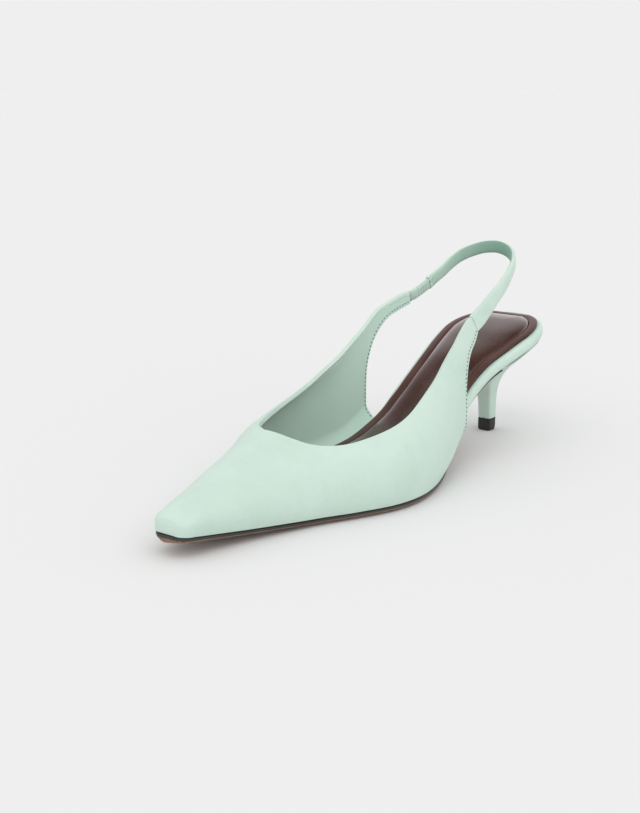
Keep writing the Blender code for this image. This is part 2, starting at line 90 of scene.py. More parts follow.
# %% [markdown]
# The room is as plain as the picture's: a pale floor, an even white sky and two very
# large soft lights, from the front left and, to fill the inside of the inner quarter,
# from the right. A floor lit only by an even sky looks the same out to the horizon, so
# the backdrop needs no seam. Polished leather mirrors more than that: the pale backdrop
# low down and the dark studio ceiling above, so glossy rays see a sky that darkens
# upwards.

# %% Floor and light
FLOOR_HALF_WIDTH = 40.0
FLOOR_TONE = 0.765
SKY_SEEN = 0.864
SKY_LIGHT = 0.95
BACKDROP_MIRRORED = 1.35
CEILING_MIRRORED = 0.05
# Columns: name, strength, softness, turn_x, turn_y, turn_z
LIGHTS = (
    ("key", 0.32, 60, 38, -14, 20),
    ("fill", 0.50, 80, 0, 50, -30),
)


def feed(tree, socket, value):
    """Gives a socket a number, a colour or another node's output."""
    if isinstance(value, tuple):
        socket.default_value = (*value, 1.0)
    elif isinstance(value, (int, float)):
        socket.default_value = value
    else:
        tree.links.new(value, socket)


def set_inputs(tree, node, values):
    """Sets a node's named inputs."""
    for label, value in values.items():
        feed(tree, node.inputs[label], value)


def join(tree, *links):
    """Joins sockets; each link names a node, its output, the next node and its input."""
    for source, label, target, into in links:
        tree.links.new(source.outputs[label], target.inputs[into])


def add_room():
    """Floor, sky and two soft lights."""
    scene = bpy.context.scene
    scene.view_settings.view_transform = "Standard"
    mesh = bpy.data.meshes.new("floor")
    half = FLOOR_HALF_WIDTH
    mesh.from_pydata([(-half, -half, 0), (half, -half, 0), (half, half, 0), (-half, half, 0)], [],
                     [(0, 1, 2, 3)])
    floor = add_object("floor", mesh)
    paint = bpy.data.materials.new("floor_paint")
    paint.use_nodes = True
    set_inputs(paint.node_tree, paint.node_tree.nodes["Principled BSDF"],
               {"Base Color": (FLOOR_TONE,) * 3, "Roughness": 1.0, "Specular IOR Level": 0.0})
    mesh.materials.append(paint)
    world = bpy.data.worlds.new("studio_sky")
    scene.world = world
    world.use_nodes = True
    tree = world.node_tree
    light = tree.nodes["Background"]
    set_inputs(tree, light, {"Color": (1.0, 1.0, 1.0), "Strength": SKY_LIGHT})
    seen = tree.nodes.new("ShaderNodeBackground")
    set_inputs(tree, seen, {"Color": (SKY_SEEN,) * 3})
    mirrored = tree.nodes.new("ShaderNodeBackground")
    where = tree.nodes.new("ShaderNodeTexCoord")
    height = tree.nodes.new("ShaderNodeSeparateXYZ")
    fade = tree.nodes.new("ShaderNodeMapRange")
    set_inputs(tree, fade, {"From Min": 0.38, "From Max": 0.80, "To Min": BACKDROP_MIRRORED,
                            "To Max": CEILING_MIRRORED})
    path = tree.nodes.new("ShaderNodeLightPath")
    glossy = tree.nodes.new("ShaderNodeMixShader")
    mix = tree.nodes.new("ShaderNodeMixShader")
    join(tree, (where, "Generated", height, "Vector"), (height, "Z", fade, "Value"),
         (fade, "Result", mirrored, "Strength"), (path, "Is Glossy Ray", glossy, "Fac"),
         (light, "Background", glossy, 1), (mirrored, "Background", glossy, 2),
         (path, "Is Camera Ray", mix, "Fac"), (glossy, "Shader", mix, 1), (seen, "Background", mix, 2),
         (mix, "Shader", tree.nodes["World Output"], "Surface"))
    for name, strength, softness, *turn in LIGHTS:
        soft = bpy.data.lights.new(name, "SUN")
        soft.energy = strength
        soft.angle = math.radians(softness)
        lamp = add_object(name, soft)
        lamp.rotation_euler = [math.radians(angle) for angle in turn]
    return floor


add_room()
print("floor and light ready")

# %% [markdown]
# A shoe is drawn on a last, so its maker thinks in a few sizes and in shares of them:
# how wide the sole's edge is at each place along the length, how high that edge runs,
# how far the sides belly out and how high the ridge of the vamp lies. The same short
# tables shaped the solids, so the finer skin made here lies exactly on them.

# %% Sizes and last measures
SHOE_LENGTH = 0.262
BALL_WIDTH = 0.079
HEEL_RISE = 0.0480
TOE_SPRING = 0.0062
INSTEP_HEIGHT = 0.070
OUTSOLE_THICKNESS = 0.0030
UPPER_WALL = 0.0018
RAND_HEIGHT = 0.0063
SOCK_THICKNESS = 0.0011
SOCK_PADDING = 0.0016
SOCK_BORDER = 0.0030
SOCK_BORDER_FRONT = 0.0016
STRAP_WIDTH = 0.0062
STRAP_TAB_WIDTH = 0.0088
STRAP_TAPER = 0.45
STRAP_THICKNESS = 0.0026
ELASTIC_WIDTH = 0.0056
ELASTIC_THICKNESS = 0.0022
ELASTIC_LENGTH = 0.0150
CLEARANCE = 0.0003
BAND_CORNER = 2 / 2.8
SOCK_BACK = 0.0175
SOCK_FRONT = 0.975
BALL_REST = 0.626
SEAT_ROUND = 0.115
TOE_ROUND = 0.025
SEAT_SQUARE = 2.35
TOE_SQUARE = 2.4

# Widths of the sole's edge, as shares of the ball width
OUTLINE_COLUMNS = ("along", "lateral", "medial")
OUTLINE = (
    (0.115, 0.330, 0.346),
    (0.170, 0.307, 0.320),
    (0.230, 0.277, 0.284),
    (0.290, 0.268, 0.274),
    (0.340, 0.288, 0.288),
    (0.400, 0.351, 0.322),
    (0.460, 0.430, 0.372),
    (0.520, 0.490, 0.432),
    (0.575, 0.514, 0.474),
    (0.630, 0.490, 0.484),
    (0.690, 0.412, 0.444),
    (0.750, 0.320, 0.354),
    (0.820, 0.242, 0.268),
    (0.890, 0.178, 0.188),
    (0.950, 0.140, 0.126),
    (0.975, 0.124, 0.100),
)

# Height of the line where upper and sole meet
PROFILE_COLUMNS = ("along", "rise", "spring")
PROFILE = (
    (0.000, 1.000, 0.0),
    (0.057, 0.946, 0.0),
    (0.115, 0.871, 0.0),
    (0.172, 0.779, 0.0),
    (0.221, 0.690, 0.0),
    (0.275, 0.540, 0.0),
    (0.332, 0.332, 0.0),
    (0.390, 0.152, 0.0),
    (0.443, 0.051, 0.0),
    (0.496, 0.009, 0.0),
    (0.553, 0.000, 0.0),
    (0.700, 0.000, 0.0),
    (0.763, 0.000, 0.05),
    (0.820, 0.000, 0.18),
    (0.885, 0.000, 0.40),
    (0.947, 0.000, 0.72),
    (1.000, 0.000, 1.00),
)

# Thickness of the wrapped board, as a share of the rand's height
BOARD_COLUMNS = ("along", "thickness")
BOARD = (
    (0.000, 1.00),
    (0.115, 0.98),
    (0.172, 0.92),
    (0.221, 0.86),
    (0.275, 0.83),
    (0.332, 0.79),
    (0.390, 0.68),
    (0.443, 0.48),
    (0.496, 0.35),
    (0.553, 0.32),
    (1.000, 0.32),
)

# The last above the sole's edge
LAST_COLUMNS = ("along", "lateral_bulge", "medial_bulge", "belly", "ridge", "lean", "square")
LAST = (
    (0.250, 0.054, 0.030, 0.180, 0.830, -0.110, 2.6),
    (0.300, 0.068, 0.056, 0.170, 0.960, -0.120, 2.6),
    (0.350, 0.070, 0.066, 0.160, 1.030, -0.125, 2.6),
    (0.385, 0.060, 0.064, 0.140, 0.975, -0.125, 2.5),
    (0.424, 0.048, 0.058, 0.120, 0.916, -0.125, 2.4),
    (0.460, 0.034, 0.050, 0.115, 0.816, -0.120, 2.3),
    (0.496, 0.024, 0.039, 0.110, 0.738, -0.115, 2.3),
    (0.534, 0.015, 0.031, 0.100, 0.657, -0.108, 2.3),
    (0.572, 0.012, 0.025, 0.092, 0.590, -0.105, 2.3),
    (0.620, 0.012, 0.019, 0.088, 0.530, -0.110, 2.25),
    (0.664, 0.014, 0.016, 0.086, 0.489, -0.121, 2.2),
    (0.725, 0.015, 0.012, 0.082, 0.443, -0.131, 2.09),
    (0.763, 0.016, 0.010, 0.080, 0.384, -0.127, 2.08),
    (0.810, 0.016, 0.014, 0.078, 0.329, -0.095, 2.15),
    (0.859, 0.015, 0.014, 0.076, 0.280, -0.065, 2.2),
    (0.908, 0.014, 0.011, 0.074, 0.220, -0.036, 2.2),
    (0.945, 0.013, 0.008, 0.070, 0.174, -0.014, 2.2),
    (0.970, 0.012, 0.006, 0.064, 0.144, -0.004, 2.2),
    (0.988, 0.010, 0.005, 0.054, 0.108, 0.000, 2.2),
    (1.000, 0.008, 0.005, 0.040, 0.072, 0.000, 2.2),
)

# Ribs of the upper: a rib runs from the edge or the quarter's rear edge up to the topline
# Columns: low_along, low_around, top_along, top_around
LATERAL_RIBS = (
    (0.304, 0.240, 0.316, 0.358),
    (0.316, 0.215, 0.344, 0.356),
    (0.339, 0.195, 0.368, 0.374),
    (0.355, 0.160, 0.391, 0.393),
    (0.365, 0.092, 0.412, 0.406),
    (0.365, 0.007, 0.433, 0.420),
    (0.362, -0.490, 0.454, 0.434),
    (0.366, -1.000, 0.477, 0.446),
    (0.420, -1.000, 0.508, 0.455),
    (0.485, -1.000, 0.546, 0.462),
    (0.553, -1.000, 0.588, 0.472),
    (0.618, -1.000, 0.630, 0.488),
    (0.676, -1.000, 0.672, 0.505),
    (0.722, -1.000, 0.703, 0.550),
    (0.762, -1.000, 0.725, 0.657),
    (0.795, -1.000, 0.732, 0.818),
    (0.824, -1.000, 0.733, 1.000),
)
MEDIAL_RIBS = (
    (0.257, 0.290, 0.266, 0.400),
    (0.282, 0.282, 0.294, 0.399),
    (0.313, 0.290, 0.328, 0.407),
    (0.346, 0.240, 0.359, 0.422),
    (0.361, 0.170, 0.381, 0.453),
    (0.366, 0.100, 0.403, 0.463),
    (0.366, 0.030, 0.425, 0.474),
    (0.364, -0.400, 0.447, 0.515),
    (0.359, -1.000, 0.472, 0.568),
    (0.414, -1.000, 0.507, 0.600),
    (0.481, -1.000, 0.549, 0.624),
    (0.553, -1.000, 0.595, 0.655),
    (0.622, -1.000, 0.637, 0.698),
    (0.686, -1.000, 0.676, 0.751),
    (0.738, -1.000, 0.708, 0.812),
    (0.784, -1.000, 0.727, 0.908),
    (0.824, -1.000, 0.733, 1.000),
)
# Columns: low_along, top_along
VAMP_RIBS = (
    (0.846, 0.762),
    (0.866, 0.788),
    (0.885, 0.814),
    (0.903, 0.842),
    (0.919, 0.870),
    (0.934, 0.896),
    (0.948, 0.920),
    (0.960, 0.941),
    (0.970, 0.958),
    (0.978, 0.971),
    (0.985, 0.981),
    (0.991, 0.989),
    (0.996, 0.995),
)

# Middle of the strap's band, from the outer quarter round the back to the inner one
# Columns: along, across, height, lean
LOOP = (
    (0.282, 0.287, 0.582, 0.24),
    (0.252, 0.275, 0.566, 0.18),
    (0.225, 0.265, 0.563, 0.10),
    (0.193, 0.252, 0.573, 0.06),
    (0.166, 0.234, 0.586, 0.04),
    (0.134, 0.200, 0.593, 0.02),
    (0.107, 0.160, 0.597, 0.00),
    (0.078, 0.099, 0.601, 0.00),
    (0.063, 0.044, 0.612, 0.00),
    (0.056, -0.016, 0.625, 0.00),
    (0.057, -0.076, 0.634, 0.00),
    (0.069, -0.151, 0.633, 0.00),
    (0.103, -0.218, 0.623, 0.00),
    (0.135, -0.236, 0.608, 0.02),
    (0.164, -0.240, 0.591, 0.04),
    (0.193, -0.249, 0.578, 0.06),
    (0.220, -0.257, 0.567, 0.10),
    (0.243, -0.267, 0.573, 0.14),
)

# %% [markdown]
# Between two rows of a table the value follows a smooth curve. Heights use a curve that
# never overshoots its rows; widths use a rounder one.

# %% Reading the measures
def slopes(xs, ys):
    """Slopes of a smooth curve that doesn't overshoot its rows."""
    steps = [(y1 - y0) / (x1 - x0) for x0, x1, y0, y1 in zip(xs, xs[1:], ys, ys[1:])]
    found = [steps[0]]
    for before, after in zip(steps, steps[1:]):
        if before * after <= 0.0:
            found.append(0.0)
        else:
            found.append(2.0 * before * after / (before + after))
    found.append(steps[-1])
    return found


def ease(t):
    """A share that starts and stops gently, held between 0 and 1."""
    t = min(max(t, 0.0), 1.0)
    return t * t * (3 - 2 * t)


def step_at(xs, x):
    """The step between rows that holds x: its number, its width and the share along it."""
    x = min(max(x, xs[0]), xs[-1])
    last = len(xs) - 2
    i = next((k for k in range(last + 1) if x <= xs[k + 1]), last)
    width = xs[i + 1] - xs[i]
    return i, width, (x - xs[i]) / width


def between_rows(t, y0, y1, m0, m1):
    """Value at share t of a step, from the values and slopes at its ends."""
    return (1 + 2 * t) * (1 - t) ** 2 * y0 + t * (1 - t) ** 2 * m0 + ease(t) * y1 + t * t * (t - 1) * m1


def smooth(xs, ys, x):
    """Value at x of the smooth curve through the points."""
    i, width, t = step_at(xs, x)
    m = slopes(xs, ys)
    return between_rows(t, ys[i], ys[i + 1], m[i] * width, m[i + 1] * width)


def catmull(xs, ys, x):
    """Value at x of the rounded curve through the points."""
    i, width, t = step_at(xs, x)
    low = max(i - 1, 0)
    high = min(i + 2, len(xs) - 1)
    m0 = (ys[i + 1] - ys[low]) / (xs[i + 1] - xs[low])
    m1 = (ys[high] - ys[i]) / (xs[high] - xs[i])
    return between_rows(t, ys[i], ys[i + 1], m0 * width, m1 * width)


def run_lengths(points):
    """How far along the line through the points each of them lies."""
    runs = [0.0]
    for before, after in zip(points, points[1:]):
        runs.append(runs[-1] + (after - before).length)
    return runs


def read(table, columns, name, share):
    """A table's named column at a share of its first column."""
    k = columns.index(name)
    curve = smooth if table in (PROFILE, BOARD) else catmull
    return curve([row[0] for row in table], [row[k] for row in table], share)


def edge_width(side, along, inset=0.0):
    """Half width of the sole's edge on one side, drawn in by an inset."""
    name = "lateral" if side > 0 else "medial"
    inner = inset / SHOE_LENGTH
    low = inner
    high = 1.0 - inner
    along = min(max(along, low), high)
    width = read(OUTLINE, OUTLINE_COLUMNS, name, along) * BALL_WIDTH - inset
    if along < SEAT_ROUND:
        share = (SEAT_ROUND - along) / (SEAT_ROUND - low)
        return width * max(0.0, 1.0 - share ** SEAT_SQUARE) ** (1 / SEAT_SQUARE)
    if along > 1.0 - TOE_ROUND - inner:
        share = (along - (1.0 - TOE_ROUND - inner)) / TOE_ROUND
        return width * max(0.0, 1.0 - min(share, 1.0) ** TOE_SQUARE) ** (1 / TOE_SQUARE)
    return width


def edge_height(along):
    """Height of the line where the sole's top edge and the upper meet."""
    rise = read(PROFILE, PROFILE_COLUMNS, "rise", along) * HEEL_RISE
    spring = read(PROFILE, PROFILE_COLUMNS, "spring", along) * TOE_SPRING
    return OUTSOLE_THICKNESS + CLEARANCE + rise + spring


def board_thickness(along):
    """Thickness of the insole board at a share of the length."""
    return read(BOARD, BOARD_COLUMNS, "thickness", along) * RAND_HEIGHT


def place(along, x, z):
    """A point from its share of the length, its offset and its height."""
    return Vector((x, SHOE_LENGTH * (BALL_REST - along), z))


def upper_here(along):
    """How much of the upper's wall stands on the sole's edge: 0 behind, 1 in front."""
    start = min(row[0] for rows in (LATERAL_RIBS, MEDIAL_RIBS) for row in rows if row[1] <= -1.0)
    return ease((along - start + 0.030) / 0.025)


def board_inset(along):
    """How far the board's edge stands inside the sole's edge, under the upper's wall."""
    return (UPPER_WALL + CLEARANCE) * upper_here(along)


def last_values(side, along):
    """The last's sizes at one place: edge, foot, widest, belly, ridge, lean and power."""
    edge = edge_width(side, along)
    foot = edge_height(along)
    name = "lateral_bulge" if side > 0 else "medial_bulge"
    bulge = read(LAST, LAST_COLUMNS, name, along) * BALL_WIDTH
    lean = read(LAST, LAST_COLUMNS, "lean", along) * BALL_WIDTH
    if along > 1.0 - TOE_ROUND:
        closing = edge / edge_width(side, 1.0 - TOE_ROUND)
        bulge *= closing
        lean *= closing
    belly = read(LAST, LAST_COLUMNS, "belly", along) * INSTEP_HEIGHT
    ridge = read(LAST, LAST_COLUMNS, "ridge", along) * INSTEP_HEIGHT
    power = 2.0 / read(LAST, LAST_COLUMNS, "square", along)
    return edge, foot, edge + bulge, belly, ridge, lean * side, power


def last_point(side, along, around):
    """A point on the outside of the upper."""
    edge, foot, widest, belly, ridge, lean, power = last_values(side, along)
    if around < 0.0:
        x = edge + (widest - edge) * (1.0 - around * around)
        return place(along, side * x, foot + belly * (1.0 + around))
    turn = around * math.pi / 2
    x = lean + (widest - lean) * max(math.cos(turn), 0.0) ** power
    z = foot + belly + (ridge - belly) * math.sin(turn) ** power
    return place(along, side * x, z)


def strap_width(share):
    """Width of the strap at a share of its length from the outer quarter."""
    return STRAP_TAB_WIDTH + (STRAP_WIDTH - STRAP_TAB_WIDTH) * ease(share / STRAP_TAPER)


print("ball", round(edge_width(1, 0.575) + edge_width(-1, 0.575), 4), "m wide")

# %% [markdown]
# Two effects are used by more than one finish, so each is a shader node group with
# named inputs. Nubuck has a very short nap: a fine dusty grain, and wider patches where
# the nap lies another way and looks a little darker. Smooth leather has tiny cells and
# creases between them.

# %% Shader groups
def new_group(name, inputs, outputs):
    """An empty shader group with named sockets, and its two end nodes."""
    group = bpy.data.node_groups.new(name, "ShaderNodeTree")
    for label, kind, value in inputs:
        socket = group.interface.new_socket(name=label, in_out="INPUT", socket_type=kind)
        socket.default_value = value
    for label, kind in outputs:
        group.interface.new_socket(name=label, in_out="OUTPUT", socket_type=kind)
    start = group.nodes.new("NodeGroupInput")
    end = group.nodes.new("NodeGroupOutput")
    return group, start, end


def noise(tree, vector, scale, detail, roughness=0.55):
    """A noise texture read at a scale."""
    node = tree.nodes.new("ShaderNodeTexNoise")
    set_inputs(tree, node, {"Detail": detail, "Roughness": roughness, "Scale": scale, "Vector": vector})
    return node.outputs["Fac"]


def spread_value(tree, value, low, high, to_low, to_high):
    """A value stretched from one range to another."""
    node = tree.nodes.new("ShaderNodeMapRange")
    set_inputs(tree, node, {"Value": value, "From Min": low, "From Max": high, "To Min": to_low,
                            "To Max": to_high})
    return node.outputs["Result"]


def blend_colour(tree, factor, first, second):
    """Two colours mixed by a factor; each may be a socket or a plain colour."""
    node = tree.nodes.new("ShaderNodeMix")
    node.data_type = "RGBA"
    tree.links.new(factor, node.inputs["Factor"])
    for label, colour in (("A", first), ("B", second)):
        feed(tree, next(s for s in node.inputs if s.name == label and s.type == "RGBA"), colour)
    return next(s for s in node.outputs if s.type == "RGBA")


def maths(tree, operation, first, second):
    """One sum on two values; each may be a socket or a number."""
    node = tree.nodes.new("ShaderNodeMath")
    node.operation = operation
    for k, value in enumerate((first, second)):
        feed(tree, node.inputs[k], value)
    return node.outputs[0]


def nap_group():
    """Nubuck: fine grain over wide patches of nap, with painted shade deepening towards the back."""
    group, start, end = new_group(
        "nubuck_nap",
        (("Colour", "NodeSocketColor", (0.6, 0.78, 0.7, 1)),
         ("Brushed Colour", "NodeSocketColor", (0.5, 0.7, 0.6, 1)),
         ("Patch Scale", "NodeSocketFloat", 45.0), ("Grain Scale", "NodeSocketFloat", 2300.0),
         ("Patch Strength", "NodeSocketFloat", 0.5), ("Painted Shade Colour", "NodeSocketColor", (0.2, 0.3, 0.25, 1)),
         ("Painted Shade From", "NodeSocketFloat", 1.0), ("Painted Shade To", "NodeSocketFloat", 2.0)),
        (("Colour", "NodeSocketColor"), ("Height", "NodeSocketFloat"), ("Roughness", "NodeSocketFloat")))
    where = group.nodes.new("ShaderNodeTexCoord").outputs["Object"]
    patch = noise(group, where, start.outputs["Patch Scale"], 4.0, 0.6)
    patch = spread_value(group, patch, 0.36, 0.66, 0.0, 1.0)
    grain = noise(group, where, start.outputs["Grain Scale"], 5.0, 0.7)
    fibre = noise(group, where, 620.0, 3.0, 0.6)
    amount = maths(group, "MULTIPLY", patch, start.outputs["Patch Strength"])
    speck = spread_value(group, grain, 0.3, 0.7, -0.45, 0.45)
    amount = maths(group, "ADD", amount, speck)
    node = blend_colour(group, amount, start.outputs["Colour"], start.outputs["Brushed Colour"])
    # Painted shade: the colour darkens towards the back of the shoe between two distances
    parts = group.nodes.new("ShaderNodeSeparateXYZ")
    group.links.new(where, parts.inputs["Vector"])
    back = spread_value(group, parts.outputs["Y"], start.outputs["Painted Shade From"], start.outputs["Painted Shade To"],
                        0.0, 1.0)
    node = blend_colour(group, back, node, start.outputs["Painted Shade Colour"])
    group.links.new(node, end.inputs["Colour"])
    height = maths(group, "ADD", maths(group, "MULTIPLY", grain, 0.7), maths(group, "MULTIPLY", fibre, 0.5))
    group.links.new(height, end.inputs["Height"])
    group.links.new(spread_value(group, patch, 0.0, 1.0, 0.86, 0.96), end.inputs["Roughness"])
    return group


def leather_group():
    """Smooth leather: small cells with creases between, over a slow change of tone."""
    group, start, end = new_group(
        "leather_grain",
        (("Colour", "NodeSocketColor", (0.1, 0.05, 0.04, 1)),
         ("Worn Colour", "NodeSocketColor", (0.2, 0.1, 0.08, 1)),
         ("Cell Scale", "NodeSocketFloat", 1400.0), ("Tone Scale", "NodeSocketFloat", 40.0),
         ("Smooth Roughness", "NodeSocketFloat", 0.4)),
        (("Colour", "NodeSocketColor"), ("Height", "NodeSocketFloat"), ("Roughness", "NodeSocketFloat")))
    where = group.nodes.new("ShaderNodeTexCoord").outputs["Object"]
    cells = group.nodes.new("ShaderNodeTexVoronoi")
    cells.feature = "SMOOTH_F1"
    set_inputs(group, cells, {"Vector": where, "Scale": start.outputs["Cell Scale"]})
    pores = noise(group, where, 3200.0, 2.0)
    tone = spread_value(group, noise(group, where, start.outputs["Tone Scale"], 3.0), 0.35, 0.7, 0.0, 1.0)
    height = maths(group, "SUBTRACT", maths(group, "MULTIPLY", pores, 0.35), cells.outputs["Distance"])
    group.links.new(height, end.inputs["Height"])
    colour = blend_colour(group, tone, start.outputs["Colour"], start.outputs["Worn Colour"])
    group.links.new(colour, end.inputs["Colour"])
    change = spread_value(group, tone, 0.0, 1.0, -0.04, 0.06)
    rough = maths(group, "ADD", start.outputs["Smooth Roughness"], change)
    group.links.new(rough, end.inputs["Roughness"])
    return group


nap = nap_group()
grain = leather_group()
print("shader groups:", nap.name, grain.name)

# %% [markdown]
# The mint nubuck is the same skin everywhere: outside, the wrapped edge of the insole
# board, the strap and the heel's cover. Its lining is shaved flatter and painted paler, as
# painted light inside the shoe. The fold along the topline has a painted highlight, the
# crease beside it painted shade, and the inside of the strap painted shade that deepens
# towards the back. A weak sheen stands for the nap catching light at the edges.

# %% Nubuck finishes
MINT = (0.580, 0.712, 0.636)
MINT_BRUSHED = (0.485, 0.635, 0.550)
# Painted light: the lining is painted paler than the skin, to light the inside of the shoe
LINING_PAINTED_LIGHT = (0.660, 0.850, 0.745)
LINING_BRUSHED_PAINTED_LIGHT = (0.590, 0.790, 0.680)
# Painted highlight on the skin folded over the topline
FOLD_PAINTED_HIGHLIGHT = (0.740, 0.890, 0.800)
FOLD_BRUSHED_PAINTED_HIGHLIGHT = (0.660, 0.820, 0.725)
# Painted shade in the topline's groove and between the elastic's gathers
CREASE_PAINTED_SHADE = (0.330, 0.460, 0.390)
# Painted shade on the strap's inside, darkening further towards the back
STRAP_INSIDE_PAINTED_SHADE = (0.470, 0.620, 0.535)
STRAP_INSIDE_BRUSHED_PAINTED_SHADE = (0.390, 0.550, 0.460)
PAINTED_SHADE_TOWARDS_BACK = {"Painted Shade Colour": (0.160, 0.300, 0.230), "Painted Shade From": 0.118, "Painted Shade To": 0.156}


def grouped_material(name, group, values, bump_depth, sheen=0.0, coat=0.0, specular=0.5):
    """A Principled material fed by one of the groups."""
    made = bpy.data.materials.new(name)
    made.use_nodes = True
    tree = made.node_tree
    shader = tree.nodes["Principled BSDF"]
    node = tree.nodes.new("ShaderNodeGroup")
    node.node_tree = group
    set_inputs(tree, node, values)
    bump = tree.nodes.new("ShaderNodeBump")
    set_inputs(tree, bump, {"Strength": 1.0, "Distance": bump_depth})
    join(tree, (node, "Colour", shader, "Base Color"), (node, "Roughness", shader, "Roughness"),
         (node, "Height", bump, "Height"), (bump, "Normal", shader, "Normal"))
    set_inputs(tree, shader, {"Sheen Weight": sheen, "Sheen Roughness": 0.5, "Coat Weight": coat,
                              "Coat Roughness": 0.25, "Specular IOR Level": specular})
    return made


def nubuck_finish(name, colour, brushed, bump_depth, patches=0.5, scale=45.0, sheen=0.0, specular=0.5,
                  painted_shade=None):
    """Nubuck; the last argument gives the painted shade that it takes towards the back."""
    values = {"Colour": colour, "Brushed Colour": brushed, "Patch Strength": patches, "Patch Scale": scale}
    return grouped_material(name, nap, values | (painted_shade or {}), bump_depth, sheen=sheen, specular=specular)


nubuck = nubuck_finish("mint_nubuck", MINT, MINT_BRUSHED, 0.00009, patches=0.55, sheen=0.12, specular=0.25)
lining = nubuck_finish("mint_lining", LINING_PAINTED_LIGHT, LINING_BRUSHED_PAINTED_LIGHT, 0.00004, patches=0.70, scale=30.0,
                       sheen=0.05, specular=0.3)
strap_nubuck = nubuck_finish("strap_nubuck", MINT, MINT_BRUSHED, 0.00009, patches=0.6, scale=90.0,
                             sheen=0.12, specular=0.25)
fold_painted_highlight = nubuck_finish("fold_painted_highlight", FOLD_PAINTED_HIGHLIGHT, FOLD_BRUSHED_PAINTED_HIGHLIGHT, 0.00005, sheen=0.12, specular=0.25)
crease_painted_shade = nubuck_finish("crease_painted_shade", CREASE_PAINTED_SHADE, CREASE_PAINTED_SHADE, 0.00005, specular=0.2)
strap_inside_painted_shade = nubuck_finish("strap_inside_painted_shade", STRAP_INSIDE_PAINTED_SHADE, STRAP_INSIDE_BRUSHED_PAINTED_SHADE, 0.00005, scale=120.0,
                             specular=0.2, painted_shade=PAINTED_SHADE_TOWARDS_BACK)
thread = nubuck_finish("mint_thread", (0.30, 0.50, 0.41), (0.24, 0.42, 0.34), 0.00003, scale=900.0,
                       specular=0.4)
# Painted shade for holes: the needle holes and the inside of the strap's mouth
hole_painted_shade = nubuck_finish("hole_painted_shade", (0.115, 0.200, 0.160), (0.080, 0.150, 0.118), 0.00002,
                            specular=0.1)
print("nubuck finishes:", len(bpy.data.materials))

# %% [markdown]
# Under the foot lies a dark red-brown leather sock, polished enough to show the window
# on its padded heel. Its flat border is painted paler as a painted sheen, and its cut edge
# is nearly black.
# The leather sole is brown below, with its edge inked black. The heel's tip is rubber.

# %% Sock, sole and tip finishes
def leather_finish(name, colour, worn, roughness, bump_depth, cells=1400.0, coat=0.0, specular=0.5):
    """Smooth leather, ink or rubber."""
    values = {"Colour": colour, "Worn Colour": worn, "Smooth Roughness": roughness, "Cell Scale": cells}
    return grouped_material(name, grain, values, bump_depth, coat=coat, specular=specular)


sock_leather = leather_finish("sock_leather", (0.056, 0.0165, 0.0120), (0.080, 0.027, 0.020), 0.24, 0.00001,
                              coat=1.0, specular=0.7)
# The border's paler colour is a painted sheen
sock_border = leather_finish("sock_border_leather", (0.082, 0.030, 0.023), (0.115, 0.050, 0.040), 0.38,
                             0.00002, coat=0.1)
sock_edge = leather_finish("sock_cut_edge", (0.020, 0.014, 0.012), (0.035, 0.022, 0.018), 0.7, 0.00003,
                           specular=0.3)
sock_thread = leather_finish("sock_thread", (0.085, 0.024, 0.020), (0.12, 0.040, 0.034), 0.6, 0.00002,
                             specular=0.4)
sole_brown = leather_finish("sole_leather", (0.165, 0.082, 0.046), (0.23, 0.125, 0.075), 0.38, 0.00004,
                            cells=900.0, coat=0.15)
edge_ink = leather_finish("edge_ink", (0.016, 0.018, 0.016), (0.030, 0.032, 0.029), 0.42, 0.00003,
                          cells=700.0)
tip_rubber = leather_finish("tip_rubber", (0.010, 0.009, 0.008), (0.020, 0.018, 0.016), 0.55, 0.00003,
                            cells=2600.0)
print("finishes:", len(bpy.data.materials))

# %% [markdown]
# The upper is one skin: a narrow vamp over the toes and two quarters that sweep back to
# the strap. It is laid out as ribs, from the end of each quarter round to the toe. Solidify
# gives it its wall, with the lining's finish inside, and a small Bevel rounds the rim. The
# skin is folded over the rim onto the lining, so a fine groove runs inside, close below
# the opening: the wall is a little thinner on that line.

# %% Ribs of the upper
RIBS_PER_ROW = 6
WALL_STEPS = 22
FOLD_WIDTH = 0.0021
FOLD_GROOVE = 0.35
FOLD_STEPS = (0.0036, 0.0027, 0.00235, 0.0021, 0.00185, 0.0014, 0.0007, 0.0)


def face_outwards(mesh, merge=0.0, dissolve=0.0):
    """Turns all faces outwards, once points and edges that fall together are joined."""
    work = bmesh.new()
    work.from_mesh(mesh)
    if merge:
        bmesh.ops.remove_doubles(work, verts=work.verts, dist=merge)
    if dissolve:
        bmesh.ops.dissolve_degenerate(work, edges=work.edges, dist=dissolve)
    bmesh.ops.recalc_face_normals(work, faces=work.faces)
    work.to_mesh(mesh)
    work.free()


def ring_faces(rows, count):
    """Quads between closed rings of equal count, row by row."""
    faces = []
    for first in range(0, (rows - 1) * count, count):
        for k in range(count):
            n = (k + 1) % count
            faces.append((first + k, first + n, first + count + n, first + count + k))
    return faces


def mesh_piece(name, points, faces, materials, face_slots=None):
    """A smooth shaded mesh object from points and faces."""
    mesh = bpy.data.meshes.new(name)
    mesh.from_pydata([tuple(p) for p in points], [], faces)
    face_outwards(mesh)
    for material in materials:
        mesh.materials.append(material)
    for k, face in enumerate(mesh.polygons):
        face.use_smooth = True
        if face_slots:
            face.material_index = face_slots[k]
    piece = add_object(name, mesh)
    return piece


def apply_modifiers(piece):
    """Turns the modified shape into the piece's own mesh."""
    graph = bpy.context.evaluated_depsgraph_get()
    made = bpy.data.meshes.new_from_object(piece.evaluated_get(graph))
    piece.modifiers.clear()
    piece.data = made
    for face in made.polygons:
        face.use_smooth = True
    return piece


